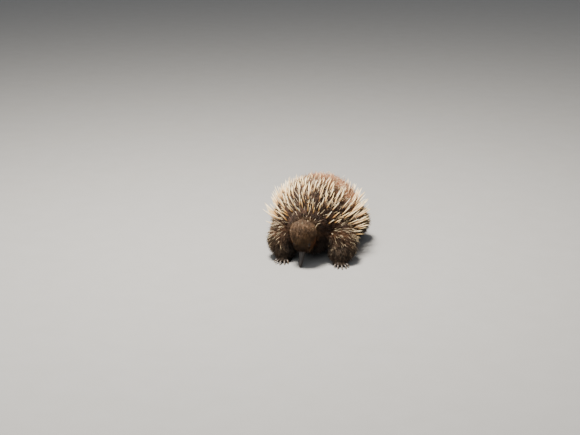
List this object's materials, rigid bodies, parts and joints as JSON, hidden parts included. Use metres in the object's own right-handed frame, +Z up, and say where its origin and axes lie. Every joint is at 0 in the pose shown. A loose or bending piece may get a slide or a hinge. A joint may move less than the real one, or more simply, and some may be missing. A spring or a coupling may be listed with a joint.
{
  "type": "echidna",
  "caption": "Still life-size short-beaked echidna standing with its beak to the ground, with a dome of spines, fur fringes and clawed feet.",
  "frame": {"origin": "on the floor under the middle of the box round the whole animal", "axes": "+Z up, -Y towards the animal's beak, +X towards its left side"},
  "size_m": [0.2714, 0.3546, 0.186],
  "materials": {
    "spine_coat": "cream horn spines over dense brown fur",
    "fur": "coarse brown fur",
    "skin": "bare dark skin, smooth, slightly glossy",
    "eye": "wet, glossy, almost black",
    "claw": "dark worn horn"
  },
  "bodies": {
    "root": {"back": "spine_coat", "beak": "skin", "belly": "fur", "claw_fore_left_1": "claw", "claw_fore_left_2": "claw", "claw_fore_left_3": "claw", "claw_fore_left_4": "claw", "claw_fore_left_5": "claw", "claw_fore_right_1": "claw", "claw_fore_right_2": "claw", "claw_fore_right_3": "claw", "claw_fore_right_4": "claw", "claw_fore_right_5": "claw", "claw_hind_left_1": "claw", "claw_hind_left_2": "claw", "claw_hind_left_3": "claw", "claw_hind_left_4": "claw", "claw_hind_left_5": "claw", "claw_hind_right_1": "claw", "claw_hind_right_2": "claw", "claw_hind_right_3": "claw", "claw_hind_right_4": "claw", "claw_hind_right_5": "claw", "ear_left": "fur", "ear_right": "fur", "eye_left": "eye", "eye_right": "eye", "forefoot_left": "fur", "forefoot_right": "fur", "foreleg_left": "fur", "foreleg_right": "fur", "head": "fur", "hindfoot_left": "fur", "hindfoot_right": "fur", "hindleg_left": "fur", "hindleg_right": "fur", "neck": "fur", "tail": "fur"}
  },
  "joints": []
}
